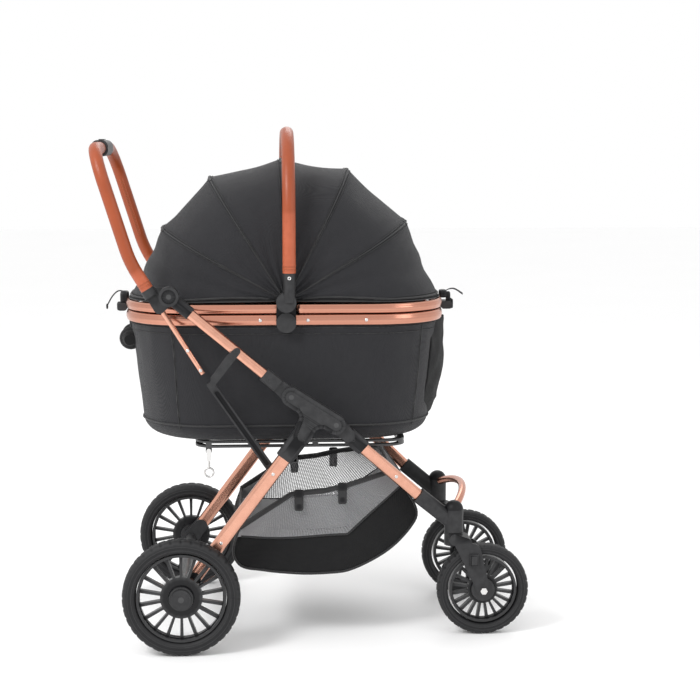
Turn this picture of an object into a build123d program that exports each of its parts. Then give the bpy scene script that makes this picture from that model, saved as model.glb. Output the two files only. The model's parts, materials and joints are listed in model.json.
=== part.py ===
from build123d import *
import os
from math import hypot, radians, sin

# Pet stroller with a lift-off carrier. Millimetres, +X to the front, +Z up, origin on the
# floor below the middle of the box. Parts of a pair are built at +Y (left) and mirrored.

# --- wheels ---
REAR_R, REAR_W, REAR_Y = 117.5, 40.0, 260.0
REAR_X = -266.0
FRONT_R, FRONT_W, FRONT_Y = 95.0, 36.0, 150.0
FRONT_X = 350.5
SWIVEL_X = 290.0
GUARD_R = 99.0
FORK_IN, FORK_OUT = 20.0, 25.0
RELEASE_AT = (330.0, 160.0)
RELEASE_PRESS = 2.0
RIM_R_REAR, RIM_R_FRONT = 89.0, 69.5
WINDOWS_REAR, WINDOWS_FRONT = 18, 20
AXLE_R = 6.0
BOLT_R = 4.0
RUN = 0.05

# --- side frames: points are (x, z), layers are distances from the middle plane ---
TUBE_PIVOT = (-45.6, 513.0)
LEG_PIVOT = (43.0, 456.0)
KNUCKLE = (-284.0, 713.0)
STAY_PIVOT = (-82.0, 357.0)
FRAME_Y = (217.0, 235.0)
HUB_Y = (212.0, 238.0)
TONGUE_Y = (218.3, 231.7)
STAY_Y = (206.5, 212.0)
LEVER_Y = 200.5
TUBE_WALL = 1.5
HUB_HOLLOW = 16.0
PIN_R = 5.0

# --- push handle ---
HANDLE_R = 12.75
HANDLE_Y = 212.0
BAR = (-428.5, 1000.0)

# --- carrier ---
RIM_LOW_X, RIM_HIGH_X = -382.0, 275.0
RIM_HALF_Y = 186.0
RIM_CORNER = 150.0
LOWER_RIM_Z = (649.0, 671.0)
UPPER_RIM_Z = (673.0, 692.0)
RIM_T = 12.0
HINGE_X = -54.0
CARRIER_BOTTOM = 410.0
DISC_Z = 698.0
CANOPY_TOP = 977.0
DOME_LEVELS = (0, 0.3, 0.55, 0.75, 0.88, 0.95, 0.99)
DOME_POWER_X, DOME_POWER_Y = 2.0, 2.9
CARRY_TOP = 1044.0
CARRY_Y = 206.0
BASE_Z = (396.0, 409.5)
BASE_WIRE = 4.2
BASE_POSTS_X = (-187.0, -90.0, 30.0, 120.0, 207.0)
TUB_FILLET = 30.0
HOOK_EYE = (-212.0, 389.0)
HOOK_Y = -142.0
HOOK_PIN_R = 2.5

os.makedirs("parts", exist_ok=True)
nodes = {}


def save(name, *solids):
    """Keep the solids of one node, all separate."""
    flat = []
    for item in solids:
        flat += list(item.solids())
    nodes[name] = Compound(children=flat) if len(flat) > 1 else flat[0]


def both(name, *solids):
    """Keep a left part and its mirror image on the right."""
    save(name + "_left", *solids)
    save(name + "_right", *[mirror(s, about=Plane.XZ) for s in solids])


def pair(name, *solids):
    """Keep left and right parts together in one node."""
    save(name, *solids, *[mirror(s, about=Plane.XZ) for s in solids])


def slab(sketch, y0, y1):
    """Extrude an (x, z) sketch from y0 to y1."""
    return extrude(Plane.XZ.offset(-y1) * sketch, amount=y1 - y0)


def disc(point, radius, y0, y1):
    return slab(Pos(*point) * Circle(radius), y0, y1)


def hull(*circles):
    """Outline around circles given as (x, z, radius)."""
    edges = []
    for x, z, r in circles:
        edges += list((Pos(x, z) * Circle(r)).edges())
    return make_hull(edges)


def along(p, q, distance):
    """The point at a distance from p towards q."""
    length = hypot(q[0] - p[0], q[1] - p[1])
    return tuple(a + (b - a) * distance / length for a, b in zip(p, q))


def link(p, q, width, y0, y1):
    """A flat bar with round ends between two (x, z) points."""
    return slab(hull((*p, width / 2), (*q, width / 2)), y0, y1)


def tube(p, q, width, depth, corner, wall=TUBE_WALL):
    """A straight tube of rounded section between two (x, y, z) points; width lies in the side plane."""
    start, way = Vector(*p), Vector(*q) - Vector(*p)
    across = Vector(0, 1, 0) - way.normalized() * way.normalized().Y
    plane = Plane(origin=start, x_dir=across.normalized(), z_dir=way.normalized())
    outer = extrude(plane * RectangleRounded(depth, width, corner), amount=way.length)
    if not wall:
        return outer
    inner = RectangleRounded(depth - 2 * wall, width - 2 * wall, max(corner - wall, 0.5))
    return outer - extrude(plane * inner, amount=way.length)


def rod(p, q, radius):
    way = Vector(*q) - Vector(*p)
    return extrude(Plane(origin=Vector(*p), z_dir=way) * Circle(radius), amount=way.length)


# ---------------------------------------------------------------- side frames
def hub_outline():
    """A Y with a straight upper edge and two hollow lower edges."""
    beam = hull((*TUBE_PIVOT, 19), (*LEG_PIVOT, 19))
    foot = hull((-4, 478, 20), (-24, 434, 18))
    outline = beam + foot
    known = [v.center() for v in beam.vertices() + foot.vertices()]
    inner = [v for v in outline.vertices() if min((v.center() - k).length for k in known) > 0.01]
    return fillet(inner, HUB_HOLLOW)


def hub():
    """Three-lobed plates that hold both fold pins, and the socket of the rear leg."""
    lobes = hub_outline()
    outer = slab(lobes, TONGUE_Y[1] + 0.3, HUB_Y[1])
    inner = slab(lobes, HUB_Y[0], TONGUE_Y[0] - 0.3)
    socket = tube((-20, 225, 441), (-60, 225, 388), 36, 26, 8, 0)
    keep_out = disc(TUBE_PIVOT, 23, TONGUE_Y[0] - 0.3, TONGUE_Y[1] + 0.3)
    keep_out += disc(LEG_PIVOT, 23, TONGUE_Y[0] - 0.3, TONGUE_Y[1] + 0.3)
    body = outer + inner + (socket - keep_out)
    raised = slab(offset(hub_outline(), -8), HUB_Y[1], HUB_Y[1] + 1.5)
    body += raised
    for pivot in (TUBE_PIVOT, LEG_PIVOT):
        body -= disc(pivot, PIN_R, HUB_Y[0] - 1, HUB_Y[1] + 3)
    return body


def rear_leg():
    return tube((-60, 226, 388), (-243, 226, 145), 28, 18, 8)


def axle_foot():
    foot = slab(hull((-243, 145, 15), (REAR_X, REAR_R, 17)), 214, 237)
    leg_end = tube((-240, 226, 149), (-228, 226, 165), 28.6, 18.6, 8, 0)
    return foot - leg_end - tube((-60, 226, 388), (-243, 226, 145), 28, 18, 8, 0) - disc(
        (REAR_X, REAR_R), AXLE_R, 200, 250
    )


both("hub", hub())
both("rear_leg", rear_leg())
pair("axle_feet", axle_foot())
pair("frame_pins", disc(TUBE_PIVOT, PIN_R, HUB_Y[0], HUB_Y[1] + 1.5),
     disc(LEG_PIVOT, PIN_R, HUB_Y[0], HUB_Y[1] + 1.5), disc(STAY_PIVOT, PIN_R, STAY_Y[0], FRAME_Y[0]))
save("rear_axle", rod((REAR_X, -284, REAR_R), (REAR_X, 284, REAR_R), AXLE_R))
save("axle_tube", rod((REAR_X, -214, REAR_R), (REAR_X, 214, REAR_R), 11)
     - rod((REAR_X, -214, REAR_R), (REAR_X, 214, REAR_R), AXLE_R))
save("hub_crossbar", Pos(-45, 0, 386) * Box(24, 2 * HUB_Y[0], 20)
     - Pos(-45, 0, 386) * Box(20, 2 * HUB_Y[0], 16))


def base_frame():
    """Two wire loops, one above the other and joined by posts, that the carrier stands on."""
    plan = RectangleRounded(430, 300, 40) - RectangleRounded(402, 272, 28)
    plan += Pos(-20, 0) * Rectangle(26, 290)
    loop = extrude(Pos(-25, 0, BASE_Z[0]) * plan, amount=BASE_Z[1] - BASE_Z[0])
    posts = [Pos(x, 0) * Rectangle(12, 320) for x in BASE_POSTS_X]
    loop -= extrude(Pos(-25, 0, BASE_Z[0] + BASE_WIRE) * (plan - posts),
                    amount=BASE_Z[1] - BASE_Z[0] - 2 * BASE_WIRE)
    x, z = HOOK_EYE
    eye = slab(hull((x, z, 6.5), (x, z + 9, 6)), HOOK_Y - 2, HOOK_Y + 2)
    return loop + eye - disc(HOOK_EYE, HOOK_PIN_R + RUN, HOOK_Y - 3, HOOK_Y + 3)


save("base_frame", base_frame())

# ---------------------------------------------------------------- upper frame
TUBE_TOP = along(KNUCKLE, TUBE_PIVOT, 54)
TUBE_END = along(TUBE_PIVOT, KNUCKLE, 70)


def upper_collar():
    """Black sleeve at the tube's lower end, with the tongue that turns in the hub."""
    tongue = slab(hull((*TUBE_PIVOT, 17), (*along(TUBE_PIVOT, KNUCKLE, 34), 13)), *TONGUE_Y)
    start, end = along(TUBE_PIVOT, KNUCKLE, 34), TUBE_END
    sleeve = tube((start[0], 225, start[1]), (end[0], 225, end[1]), 28, 25, 8, 0)
    return tongue + sleeve - disc(TUBE_PIVOT, PIN_R + RUN, 200, 250)


def knuckle():
    """Round pivot housing at the top of the tube, with its black arm."""
    start, end = along(KNUCKLE, TUBE_PIVOT, 12), TUBE_TOP
    arm = tube((start[0], 226, start[1]), (end[0], 226, end[1]), 25, 22, 8, 0)
    head = disc(KNUCKLE, 19.5, 213, 239) - disc(KNUCKLE, 14, 237.5, 240)
    return head + arm - disc(KNUCKLE, PIN_R, 200, 237.5)


def fold_hook():
    """Flat clip across the tube that catches the rear leg when folded."""
    bar = slab(hull((-152, 605, 7), (-166, 590, 9), (-204, 540, 8)), 235, 239)
    catch = disc((-212, 549), 8, 234, 240)
    return bar - catch


pair("upper_collars", upper_collar())
both("upper_tube", tube((*(TUBE_END[0], 226), TUBE_END[1]), (TUBE_TOP[0], 226, TUBE_TOP[1]), 20, 18, 7))
both("knuckle", knuckle())
pair("fold_hooks", fold_hook())


# ---------------------------------------------------------------- stay rods
def stay_rod():
    bar = link(STAY_PIVOT, (-203, 533), 16, *STAY_Y)
    groove = link(along(STAY_PIVOT, (-203, 533), 22), along((-203, 533), STAY_PIVOT, 18), 8,
                  STAY_Y[1] - 2, STAY_Y[1] + 1)
    return bar - groove - disc(STAY_PIVOT, PIN_R + RUN, 200, 220)


pair("stay_rods", stay_rod())

# ---------------------------------------------------------------- push handle
ARM_LOW = (-327.0, 726.0)
ARM_BEND = (-360.0, 780.0)


def handle_path():
    route = [(ARM_LOW[0], HANDLE_Y, ARM_LOW[1]), (ARM_BEND[0], HANDLE_Y, ARM_BEND[1]),
             (BAR[0], HANDLE_Y, BAR[1]), (BAR[0], -HANDLE_Y, BAR[1]),
             (ARM_BEND[0], -HANDLE_Y, ARM_BEND[1]), (ARM_LOW[0], -HANDLE_Y, ARM_LOW[1])]
    return FilletPolyline(*route, radius=[220, 70, 70, 220])


def push_handle():
    path = handle_path()
    return sweep((path ^ 0) * (Circle(HANDLE_R) - Circle(HANDLE_R - 2.5)), path=path)


def handle_collar():
    """Black fitting that joins the handle's arm, the lever tube and the pivot."""
    plate = slab(hull((-318, 716, 13), (-304, 688, 11), (*KNUCKLE, 16)), 195.5, 212.5)
    low = Vector(ARM_LOW[0], HANDLE_Y, ARM_LOW[1])
    way = Vector(ARM_BEND[0] - ARM_LOW[0], 0, ARM_BEND[1] - ARM_LOW[1]).normalized()
    cup = rod(tuple(low - way * 16), tuple(low), 14)
    return plate + cup - rod(tuple(low), tuple(low + way * 30), HANDLE_R) - disc(
        KNUCKLE, PIN_R + RUN, 190, 220
    ) - rod((-301, LEVER_Y, 685), (-220, LEVER_Y, 556), 5)


def grip():
    """Black housing around the middle of the crossbar."""
    shell = Pos(BAR[0], 0, BAR[1]) * Box(34, 120, 33)
    shell = fillet(shell.edges().filter_by(Axis.Y), 13)
    shell -= Pos(BAR[0], 0, BAR[1]) * Rot(90, 0, 0) * Cylinder(HANDLE_R, 130)
    return shell - Pos(BAR[0], 0, BAR[1] + 15) * Box(12.4, 30.4, 4)


save("push_handle", push_handle())
save("handle_grip", grip())
save("fold_button", Pos(BAR[0], 0, BAR[1] + 17) * Box(12, 30, 3))
both("handle_collar", handle_collar())
pair("lever_tubes", rod((-301, LEVER_Y, 685), (-220, LEVER_Y, 556), 5)
     - rod((-301, LEVER_Y, 685), (-220, LEVER_Y, 556), 4))
pair("knuckle_pins", disc(KNUCKLE, PIN_R, 197, 237.5))

# ---------------------------------------------------------------- front legs
LEG_DIR = Vector(233.7 - LEG_PIVOT[0], FRONT_Y - 226, 277.8 - LEG_PIVOT[1]).normalized()


def on_leg(distance):
    """A point on the front leg's axis, which leans inwards."""
    point = Vector(LEG_PIVOT[0], 226, LEG_PIVOT[1]) + LEG_DIR * distance
    return (point.X, point.Y, point.Z)


def front_collar():
    tongue = slab(hull((*LEG_PIVOT, 17), (LEG_PIVOT[0] + 25, LEG_PIVOT[1] - 23, 13)), *TONGUE_Y)
    sleeve = tube(on_leg(34), on_leg(78), 32, 24, 8, 0)
    return tongue + sleeve - disc(LEG_PIVOT, PIN_R + RUN, 200, 250)


def caster_housing():
    """Socket on the leg's foot and the fixed upper half of the swivel barrel."""
    barrel = Pos(SWIVEL_X, FRONT_Y, 239) * Cylinder(19.5, 46)
    cap = Pos(SWIVEL_X, FRONT_Y, 262) * Sphere(19.5)
    foot = on_leg(246)
    socket = tube(foot, (SWIVEL_X - 8, FRONT_Y, 240), 32, 24, 8, 0)
    bore = Pos(SWIVEL_X, FRONT_Y, 218) * Cylinder(8 + RUN, 80)
    return barrel + cap + socket - tube(on_leg(70), foot, 24, 18, 7, 0) - bore


def front_crossbar():
    """Bowed tube between the two caster housings."""
    ends = (SWIVEL_X + 4, FRONT_Y - 19.2, 262), (SWIVEL_X + 4, 19.2 - FRONT_Y, 262)
    middle = (SWIVEL_X + 34, 0, 285)
    path = ThreePointArc(ends[0], middle, ends[1])
    bar = sweep((path ^ 0) * (Circle(8) - Circle(6.5)), path=path)
    for side in (1, -1):
        bar -= Pos(SWIVEL_X, side * FRONT_Y, 250) * Cylinder(19.5, 60)
        bar -= Pos(SWIVEL_X, side * FRONT_Y, 262) * Sphere(19.5)
    return bar


pair("front_collars", front_collar())
both("front_leg", tube(on_leg(78), on_leg(246), 24, 18, 7))
both("caster_housing", caster_housing())
save("front_crossbar", front_crossbar())


# ---------------------------------------------------------------- casters
def fork():
    """Swivelling lower barrel, mudguard and the two arms to the axle."""
    y = FRONT_Y
    barrel = Pos(SWIVEL_X, y, 202) * Cylinder(19.5, 27)
    stem = Pos(SWIVEL_X, y, 225) * Cylinder(8, 60)
    ring_plan = Circle(GUARD_R + 5) - Circle(GUARD_R)
    guard = slab(Pos(FRONT_X, FRONT_R) * ring_plan, y - FORK_OUT, y + FORK_OUT)
    sector = Polygon((FRONT_X, FRONT_R), (FRONT_X - 200, FRONT_R + 75),
                     (FRONT_X - 120, FRONT_R + 200), (FRONT_X + 40, FRONT_R + 200), align=None)
    guard &= slab(sector, y - 30, y + 30)
    neck = slab(hull((SWIVEL_X, 203, 12), (SWIVEL_X + 26, 197, 9)), y - FORK_OUT, y + FORK_OUT)
    body = barrel + stem + guard + (neck - disc((FRONT_X, FRONT_R), GUARD_R, y - 30, y + 30))
    arm = hull((SWIVEL_X + 14, 190, 12), (FRONT_X - 22, 178, 16), (FRONT_X, FRONT_R, 13))
    for side in (-1, 1):
        low, high = sorted((y + side * FORK_IN, y + side * FORK_OUT))
        body += slab(arm, low, high)
    seat, depth = RELEASE_AT, RELEASE_PRESS + 0.3
    body += Pos(seat[0], y + FORK_OUT + 2, seat[1]) * Box(17, 6, 25)
    body -= Pos(seat[0], y + FORK_OUT + 5 + 1.2 - depth, seat[1]) * Box(12.4, 10, 18.4)
    return body - disc((FRONT_X, FRONT_R), BOLT_R, y - 40, y + 40)


def axle_bolt():
    """Front axle with its outer head."""
    y = FRONT_Y
    head = slab(Pos(FRONT_X, FRONT_R) * RegularPolygon(7.5, 6), y + 25, y + 29.5)
    nut = slab(Pos(FRONT_X, FRONT_R) * RegularPolygon(7.5, 6), y - 29.5, y - 25)
    return disc((FRONT_X, FRONT_R), BOLT_R, y - 25, y + 25) + head + nut


both("caster_fork", fork())
both("axle_bolt", axle_bolt())
both("wheel_release", Pos(RELEASE_AT[0], FRONT_Y + FORK_OUT + 3.7, RELEASE_AT[1]) * Box(12, 5, 18))


# ---------------------------------------------------------------- wheels
def wheel_rim(radius, half, bore, hub_r, windows):
    """Spoked rim about the Y axis at the origin."""
    profile = Polygon((bore, -half), (24, -half), (26, -8), (hub_r, -7), (radius - 5, -5),
                      (radius - 5, -half + 3), (radius, -half + 3), (radius, half - 3),
                      (radius - 5, half - 3), (radius - 5, 5), (hub_r, 7), (26, 8),
                      (24, half), (bore, half), align=None)
    body = revolve(Plane.XY * profile, axis=Axis.Y)
    step = 360 / windows
    inner, outer = hub_r - 2, radius - 7
    gap_in = inner * sin(radians(step / 2)) - 2.4
    gap_out = outer * sin(radians(step / 2)) - 3.2
    window = Polygon((inner, -gap_in), (outer, -gap_out), (outer, gap_out), (inner, gap_in), align=None)
    cuts = [slab(Rot(0, 0, n * step) * window, -half, half) for n in range(windows)]
    return body - cuts


def tyre(radius, inner, half):
    """Rounded tread with shallow shoulders."""
    face = Pos((radius + inner) / 2, 0) * RectangleRounded(radius - inner, 2 * half, 11)
    seat = Pos(inner + 3, 0) * Rectangle(6, 2 * half - 6)
    ring = revolve(Plane.XY * (face + seat), axis=Axis.Y)
    return ring - Rot(90, 0, 0) * Cylinder(inner, 4 * half)


def wheel(kind, centre, radius, width, rim_r, bore, hub_r, windows):
    place = Pos(*centre)
    both(f"{kind}_rim", place * wheel_rim(rim_r, width / 2 - 2, bore, hub_r, windows))
    both(f"{kind}_tyre", place * tyre(radius, rim_r, width / 2))


wheel("rear", (REAR_X, REAR_Y, REAR_R), REAR_R, REAR_W, RIM_R_REAR, AXLE_R + RUN, 44, WINDOWS_REAR)
wheel("front", (FRONT_X, FRONT_Y, FRONT_R), FRONT_R, FRONT_W, RIM_R_FRONT, BOLT_R + RUN, 33,
      WINDOWS_FRONT)
AXLE_CAP = disc((REAR_X, REAR_R), 20, 279.5, 283.5) - disc((REAR_X, REAR_R), AXLE_R, 270, 285)
pair("axle_caps", AXLE_CAP)


# ---------------------------------------------------------------- storage basket
def storage_basket():
    """Open sling between the legs; narrower towards the front."""
    side = Polygon((-45, 308), (-150, 236), (-166, 164), (-105, 147), (0, 137), (72, 142),
                   (168, 184), (222, 243), (200, 292), (161, 345), align=None)
    plan = Polygon((-190, -186), (60, -186), (250, -112), (250, 112), (60, 186), (-190, 186),
                   align=None)
    whole = slab(side, -190, 190) & extrude(plan, amount=500)
    inner_side = offset(side, -3) + Polygon((-47, 290), (161, 332), (161, 400), (-47, 400), align=None)
    inner_plan = offset(plan, -3)
    return whole - (slab(inner_side, -190, 190) & extrude(inner_plan, amount=500))


save("storage_basket", storage_basket())


# ---------------------------------------------------------------- carrier
def outline(inset, low_x=RIM_LOW_X, high_x=RIM_HIGH_X, half_y=RIM_HALF_Y):
    """Plan of the carrier: a rounded rectangle, made smaller by the inset."""
    length, middle = high_x - low_x - 2 * inset, (low_x + high_x) / 2
    return Pos(middle, 0) * RectangleRounded(length, 2 * (half_y - inset), RIM_CORNER - inset)


def ring(z0, z1, inset, wall):
    band = outline(inset) - outline(inset + wall)
    return extrude(Pos(0, 0, z0) * band, amount=z1 - z0)


def tub(inset, bottom):
    """Tapered tub: the floor is smaller than the mouth."""
    top = Plane.XY.offset(LOWER_RIM_Z[0] - 0.5) * outline(4 + inset)
    floor = Plane.XY.offset(bottom) * outline(inset, -337, 240, 172)
    whole = loft([floor, top])
    return fillet(whole.edges().group_by(Axis.Z)[0], TUB_FILLET - inset)


carrier_shell = tub(0, CARRIER_BOTTOM) - tub(3, CARRIER_BOTTOM + 3)
save("carrier_body", carrier_shell)
save("carrier_floor", extrude(Pos(0, 0, CARRIER_BOTTOM + 3.2) * outline(28, -337, 240, 172), amount=5))
save("carrier_mat", extrude(Pos(0, 0, CARRIER_BOTTOM + 8.6) * outline(16, -337, 240, 172), amount=20))
save("lower_rim", ring(*LOWER_RIM_Z, 0, RIM_T))

FRONT_HALF = Pos(HINGE_X + 520, 0, 0) * Box(1000, 1000, 4000)
REAR_HALF = Pos(HINGE_X - 480, 0, 0) * Box(1000, 1000, 4000)
save("upper_rim_front", ring(*UPPER_RIM_Z, 0, RIM_T) & FRONT_HALF)
save("upper_rim_rear", ring(*UPPER_RIM_Z, 0, RIM_T) & REAR_HALF)


def dome(inset):
    """Domed cover over the rim, lofted through rounded rectangles that shrink with height."""
    half_x, middle = (RIM_HIGH_X - RIM_LOW_X) / 2 - 3, (RIM_LOW_X + RIM_HIGH_X) / 2
    half_y, height = RIM_HALF_Y - 3, CANOPY_TOP - UPPER_RIM_Z[1]
    sections = []
    for level in DOME_LEVELS:
        x = half_x * (1 - level**DOME_POWER_X) ** (1 / DOME_POWER_X) - inset
        y = half_y * (1 - level**DOME_POWER_Y) ** (1 / DOME_POWER_Y) - inset
        plane = Plane.XY.offset(UPPER_RIM_Z[1] + 0.3 + level * (height - inset))
        sections.append(plane * Pos(middle, 0) * RectangleRounded(2 * x, 2 * y, 0.8 * y))
    return loft(sections, ruled=True)


canopy = dome(0) - dome(3)
save("canopy_front", canopy & FRONT_HALF)
# the rear half leaves room round each hinge for the end of the front rim as it swings up
hinge_room = disc((HINGE_X, DISC_Z), 45, 168, 200) + disc((HINGE_X, DISC_Z), 45, -200, -168)
save("canopy_rear", (canopy & (Pos(-0.5, 0, 0) * REAR_HALF)) - hinge_room)


def side_hinge():
    """Black block outside both rims, with two round bosses."""
    plate = slab(hull((HINGE_X, DISC_Z, 19), (HINGE_X, 656, 20)), 186.3, 192.5)
    boss = disc((HINGE_X, 656), 20, 192.5, 198)
    return plate + boss - disc((HINGE_X, DISC_Z), PIN_R, 180, 200)


def carry_sleeve():
    """Black fitting at the foot of the carry handle."""
    head = disc((HINGE_X, DISC_Z), 20, 193, 214)
    arm = rod((HINGE_X + 6, CARRY_Y, DISC_Z), (HINGE_X + 6, CARRY_Y, 756), 12.2)
    return head + arm - disc((HINGE_X, DISC_Z), PIN_R + RUN, 180, 212)


def carry_handle():
    x = HINGE_X + 6
    top = CARRY_TOP - 13
    route = [(x, CARRY_Y, 756), (x, CARRY_Y, top), (x, -CARRY_Y, top), (x, -CARRY_Y, 756)]
    path = FilletPolyline(*route, radius=[160, 160])
    return sweep((path ^ 0) * (Circle(13) - Circle(10.5)), path=path)


pair("side_hinges", side_hinge())
pair("hinge_pins", disc((HINGE_X, DISC_Z), PIN_R, 186.3, 212))
pair("carry_sleeves", carry_sleeve())
save("carry_handle", carry_handle())


def rim_knobs():
    """Toggles that lock the rims together at both ends."""
    front = Pos(RIM_HIGH_X + 12, 0, 672) * Box(24, 46, 16)
    rear = Pos(RIM_LOW_X - 10, 0, 672) * Box(20, 46, 16)
    return [fillet(knob.edges().filter_by(Axis.Y), 6) for knob in (front, rear)]


save("rim_knobs", *rim_knobs())


# ---------------------------------------------------------------- leash hook
def leash_hook():
    """Forked shackle, shank and snap hook that hang from the base frame."""
    x, z = HOOK_EYE
    shackle = slab(hull((x, z, 5), (x, z - 16, 5)), HOOK_Y - 5.5, HOOK_Y + 5.5)
    shackle -= slab(hull((x, z, 8), (x, z - 5, 8)), HOOK_Y - 2.3, HOOK_Y + 2.3)
    shackle += disc(HOOK_EYE, HOOK_PIN_R, HOOK_Y - 5.5, HOOK_Y + 5.5)
    shank = rod((x, HOOK_Y, z - 18), (x, HOOK_Y, z - 36), 2.5)
    hook = Pos(x, HOOK_Y, z - 45) * Rot(90, 0, 0) * Torus(9, 2)
    return shackle + shank + hook


save("leash_hook", leash_hook())

for name, shape in nodes.items():
    export_step(shape, f"parts/{name}.step")
    size = shape.bounding_box().size
    print(f"{name:22s} {len(shape.solids())} solids {shape.volume / 1000:9.1f} cm3 "
          f"{size.X:.0f} x {size.Y:.0f} x {size.Z:.0f}")
print(len(nodes), "nodes")
whole = Compound(children=[s for n in nodes.values() for s in n.solids()]).bounding_box()
print("box", whole.min, whole.max)
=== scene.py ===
import json
import math

import bpy
import bmesh
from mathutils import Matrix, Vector, noise


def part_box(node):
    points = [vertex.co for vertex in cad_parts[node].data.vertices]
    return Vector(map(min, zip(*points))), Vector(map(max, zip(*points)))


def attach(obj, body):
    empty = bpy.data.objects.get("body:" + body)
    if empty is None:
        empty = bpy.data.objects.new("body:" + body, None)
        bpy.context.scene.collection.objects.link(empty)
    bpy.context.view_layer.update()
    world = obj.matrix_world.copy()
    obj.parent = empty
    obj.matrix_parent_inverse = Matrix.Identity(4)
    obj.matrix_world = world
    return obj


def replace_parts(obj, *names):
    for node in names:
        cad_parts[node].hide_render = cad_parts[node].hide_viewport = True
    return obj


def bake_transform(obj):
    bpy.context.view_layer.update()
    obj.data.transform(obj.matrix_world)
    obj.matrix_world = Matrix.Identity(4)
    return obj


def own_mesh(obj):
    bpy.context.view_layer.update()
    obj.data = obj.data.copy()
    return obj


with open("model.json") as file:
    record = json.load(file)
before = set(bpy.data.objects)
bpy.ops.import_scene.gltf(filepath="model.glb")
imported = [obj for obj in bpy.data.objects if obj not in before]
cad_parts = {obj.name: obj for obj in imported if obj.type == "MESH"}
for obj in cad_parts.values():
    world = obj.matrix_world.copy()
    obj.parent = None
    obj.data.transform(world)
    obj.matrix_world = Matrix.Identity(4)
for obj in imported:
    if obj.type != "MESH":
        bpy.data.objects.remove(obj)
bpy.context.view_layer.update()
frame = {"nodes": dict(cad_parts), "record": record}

# Everything is in metres in the CAD frame: +X front, +Y left, +Z up.
SIDES = (1, -1)                        # left and right
HINGE = Vector((-0.054, 0.0, 0.698))   # the canopy's hinge line, at y 0


# ---------------------------------------------------------------- materials
class Nodes:
    """Builds the node tree of one material."""

    def __init__(self, name):
        self.mat = bpy.data.materials.new(name)
        self.mat.use_nodes = True
        self.tree = self.mat.node_tree
        self.shader = self.tree.nodes["Principled BSDF"]
        self.place = self.tree.nodes.new("ShaderNodeTexCoord").outputs["Object"]

    def add(self, kind, inputs=None, **props):
        node = self.tree.nodes.new(kind)
        for key, value in props.items():
            setattr(node, key, value)
        for key, value in (inputs or {}).items():
            if isinstance(value, bpy.types.NodeSocket):
                self.tree.links.new(value, node.inputs[key])
            else:
                node.inputs[key].default_value = value
        return node

    def noise(self, scale, detail=3.0):
        inputs = {"Vector": self.place, "Scale": scale, "Detail": detail}
        return self.add("ShaderNodeTexNoise", inputs).outputs["Fac"]

    def wave(self, axis, period):
        inputs = {"Vector": self.place, "Scale": math.pi / 10 / period, "Distortion": 0.6,
                  "Detail Scale": 2.0}
        return self.add("ShaderNodeTexWave", inputs, bands_direction=axis).outputs["Fac"]

    def math(self, operation, a, b):
        return self.add("ShaderNodeMath", {0: a, 1: b}, operation=operation).outputs[0]

    def weave(self, period):
        """Height of a plain weave whose threads run along all three axes."""
        rows = self.math("MULTIPLY", self.wave("X", period), self.wave("Z", period))
        return self.math("ADD", rows, self.wave("Y", period))

    def cells(self, scale):
        inputs = {"Vector": self.place, "Scale": scale}
        return self.add("ShaderNodeTexVoronoi", inputs, feature="SMOOTH_F1").outputs["Distance"]

    def ramp(self, value, low, high):
        inputs = {"Value": value, "To Min": low, "To Max": high}
        return self.add("ShaderNodeMapRange", inputs).outputs["Result"]

    def mix(self, factor, a, b):
        node = self.add("ShaderNodeMix", data_type="RGBA")
        for socket, value in ((node.inputs[0], factor), (node.inputs[6], a), (node.inputs[7], b)):
            if isinstance(value, bpy.types.NodeSocket):
                self.tree.links.new(value, socket)
            else:
                socket.default_value = value
        return node.outputs[2]

    def edges(self, spread):
        """1 on sharp convex edges, 0 elsewhere."""
        point = self.add("ShaderNodeNewGeometry").outputs["Pointiness"]
        inputs = {"Value": point, "From Min": 0.5, "From Max": 0.5 + spread}
        return self.add("ShaderNodeMapRange", inputs).outputs["Result"]

    def bump(self, height, distance, normal=None):
        inputs = {"Height": height, "Distance": distance}
        if normal is not None:
            inputs["Normal"] = normal
        return self.add("ShaderNodeBump", inputs).outputs["Normal"]

    def link(self, socket, name):
        self.tree.links.new(socket, self.shader.inputs[name])

    def set(self, **values):
        for key, value in values.items():
            self.shader.inputs[key.replace("_", " ")].default_value = value


def scaled(colour, factor):
    return (*[min(c * factor, 1.0) for c in colour], 1.0)


def finish_of(name, colour, rough, vary=0.12, patches=7.0, wear=0.0, bumps=(), metal=0.0, **more):
    """A material with mottled colour, uneven roughness, worn edges and the given bumps."""
    n = Nodes(name)
    base = n.mix(n.noise(patches), scaled(colour, 1 - vary), scaled(colour, 1 + vary))
    if wear:
        rub = n.math("MULTIPLY", n.edges(0.06), n.ramp(n.noise(90.0), 0.2, wear))
        base = n.mix(rub, base, scaled([c + 0.03 for c in colour], 2.2))
    n.link(base, "Base Color")
    n.link(n.ramp(n.noise(patches * 9), rough - 0.06, rough + 0.06), "Roughness")
    normal = None
    for kind, size, distance in bumps:
        height = {"weave": n.weave, "noise": n.noise, "cells": n.cells}[kind](size)
        normal = n.bump(height, distance, normal)
    if normal is not None:
        n.link(normal, "Normal")
    n.set(Metallic=metal, **more)
    return n.mat


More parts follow.
